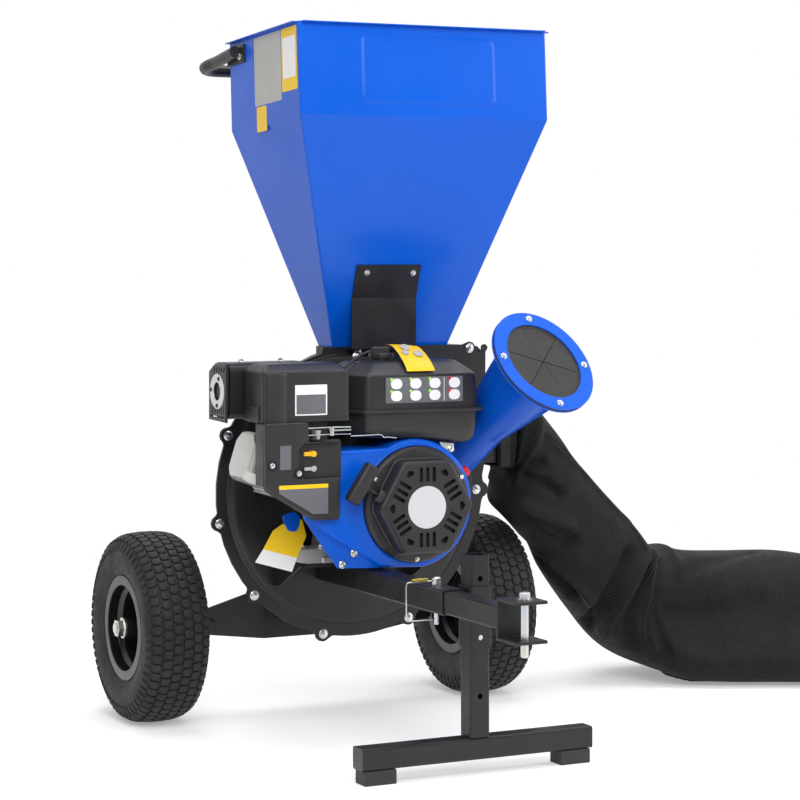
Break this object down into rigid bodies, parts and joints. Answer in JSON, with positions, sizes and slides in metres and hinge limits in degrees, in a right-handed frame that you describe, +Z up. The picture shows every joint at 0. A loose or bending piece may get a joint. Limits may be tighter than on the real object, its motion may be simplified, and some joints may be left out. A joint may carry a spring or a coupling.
{
  "type": "tow-behind wood chipper",
  "caption": "Tow-behind garden chipper and shredder with feed hopper, side chipping chute, petrol engine, stand leg, turf wheels and a collecting bag.",
  "frame": {"origin": "middle of the bounding box on the ground, bag included", "axes": "+Z up, -Y towards the towing hitch, +X towards the discharge duct and bag; the wheel axle runs along X"},
  "size_m": [1.5836, 1.044, 1.2109],
  "materials": {
    "black_powder_coat": "satin black powder coat",
    "blue_paint": "glossy blue paint",
    "zinc": "bright zinc plate",
    "steel": "bare machined steel",
    "cast_aluminium": "as cast",
    "tyre_rubber": "matt black rubber",
    "rubber": "matt black rubber",
    "black_plastic": "moulded, fine grain",
    "yellow_plastic": "glossy yellow",
    "red_plastic": "glossy red",
    "bag_cloth": "woven black polyester mesh",
    "rope": "black webbing and cord"
  },
  "bodies": {
    "frame": {"air_cleaner": "black_plastic", "axle": "zinc", "axle_bracket": "black_powder_coat", "bag_strap": "rope", "chute_ring": "blue_paint", "chute_tube": "blue_paint", "clevis": "black_powder_coat", "collecting_bag": "bag_cloth", "control_panel": "black_plastic", "crankcase": "cast_aluminium", "crossbar": "black_powder_coat", "cylinder": "cast_aluminium", "cylinder_head": "cast_aluminium", "discharge_duct": "black_powder_coat", "engine_bed": "black_powder_coat", "fan_shroud": "blue_paint", "foot_left": "rubber", "foot_right": "rubber", "fuel_tank": "black_plastic", "hopper": "blue_paint", "hopper_bracket": "black_powder_coat", "housing_drum": "black_powder_coat", "housing_front": "black_powder_coat", "leg_post": "black_powder_coat", "leg_sleeve": "black_powder_coat", "lock_pin": "zinc", "muffler": "steel", "muffler_guard": "black_powder_coat", "push_handle": "black_powder_coat", "recoil_cover": "black_plastic", "splash_guard": "rubber", "tow_bar": "black_powder_coat", "tow_tube": "black_powder_coat", "valve_cover": "cast_aluminium", "wheel_nut_left": "zinc", "wheel_nut_right": "zinc"},
    "wheel_left": {"tyre_left": "tyre_rubber", "rim_left": "black_powder_coat"},
    "wheel_right": {"tyre_right": "tyre_rubber", "rim_right": "black_powder_coat"},
    "rotor": {"crankshaft": "steel", "flywheel_fan": "cast_aluminium", "rotor_disc": "steel", "rotor_plate": "steel", "chipping_knife_1": "steel", "chipping_knife_2": "steel"},
    "flail_1": {"flail_1": "steel"},
    "flail_2": {"flail_2": "steel"},
    "flail_3": {"flail_3": "steel"},
    "flail_4": {"flail_4": "steel"},
    "starter": {"starter_grip": "black_plastic", "starter_rope": "rope"},
    "fuel_cap": {"fuel_cap": "black_plastic"},
    "choke": {"choke_lever": "yellow_plastic"},
    "fuel_cock": {"fuel_cock": "zinc"},
    "throttle": {"throttle_lever": "zinc"},
    "engine_switch": {"engine_switch": "red_plastic"},
    "clevis_pin": {"clevis_pin": "zinc"},
    "leg_pin": {"leg_pin": "zinc"},
    "lock_wire": {"lock_wire": "zinc"}
  },
  "joints": [
    {"name": "wheel_left_spin", "type": "hinge", "parent": "frame", "child": "wheel_left", "pos_m": [-0.7278, 0.357, 0.165], "axis": [1, 0, 0], "continuous": true},
    {"name": "wheel_right_spin", "type": "hinge", "parent": "frame", "child": "wheel_right", "pos_m": [-0.0858, 0.357, 0.165], "axis": [1, 0, 0], "continuous": true},
    {"name": "rotor_spin", "type": "hinge", "parent": "frame", "child": "rotor", "pos_m": [-0.4008, 0.248, 0.4], "axis": [0, 1, 0], "continuous": true},
    {"name": "flail_1_swing", "type": "hinge", "parent": "rotor", "child": "flail_1", "pos_m": [-0.2983, 0.248, 0.5025], "axis": [0, 1, 0], "continuous": true},
    {"name": "flail_2_swing", "type": "hinge", "parent": "rotor", "child": "flail_2", "pos_m": [-0.5033, 0.248, 0.5025], "axis": [0, 1, 0], "continuous": true},
    {"name": "flail_3_swing", "type": "hinge", "parent": "rotor", "child": "flail_3", "pos_m": [-0.5033, 0.248, 0.2975], "axis": [0, 1, 0], "continuous": true},
    {"name": "flail_4_swing", "type": "hinge", "parent": "rotor", "child": "flail_4", "pos_m": [-0.2983, 0.248, 0.2975], "axis": [0, 1, 0], "continuous": true},
    {"name": "starter_pull", "type": "slide", "parent": "frame", "child": "starter", "axis": [-0.8371, 0, 0.5471], "range_m": [0, 0.12], "stiffness_N_per_m": 30, "springref_m": -0.02},
    {"name": "fuel_cap_turn", "type": "hinge", "parent": "frame", "child": "fuel_cap", "pos_m": [-0.4288, 0.045, 0.6383], "axis": [0, 0, 1], "range_deg": [0, 90]},
    {"name": "choke_turn", "type": "hinge", "parent": "frame", "child": "choke", "pos_m": [-0.5948, -0.033, 0.492], "axis": [0, 1, 0], "range_deg": [-25, 25]},
    {"name": "fuel_cock_turn", "type": "hinge", "parent": "frame", "child": "fuel_cock", "pos_m": [-0.5948, -0.033, 0.468], "axis": [0, 1, 0], "range_deg": [-25, 25]},
    {"name": "throttle_turn", "type": "hinge", "parent": "frame", "child": "throttle", "pos_m": [-0.5593, -0.036, 0.5203], "axis": [0, 0, 1], "range_deg": [-20, 12]},
    {"name": "engine_switch_turn", "type": "hinge", "parent": "frame", "child": "engine_switch", "pos_m": [-0.303, -0.013, 0.4466], "axis": [0.9027, 0, 0.4303], "range_deg": [0, 60]},
    {"name": "clevis_pin_lift", "type": "slide", "parent": "frame", "child": "clevis_pin", "axis": [0, 0, 1], "range_m": [0, 0.1]},
    {"name": "leg_pin_pull", "type": "slide", "parent": "frame", "child": "leg_pin", "axis": [0, 1, 0], "range_m": [0, 0.06]},
    {"name": "lock_wire_swing", "type": "hinge", "parent": "frame", "child": "lock_wire", "pos_m": [-0.4613, -0.22, 0.2984], "axis": [0, 1, 0], "range_deg": [0, 150]}
  ]
}
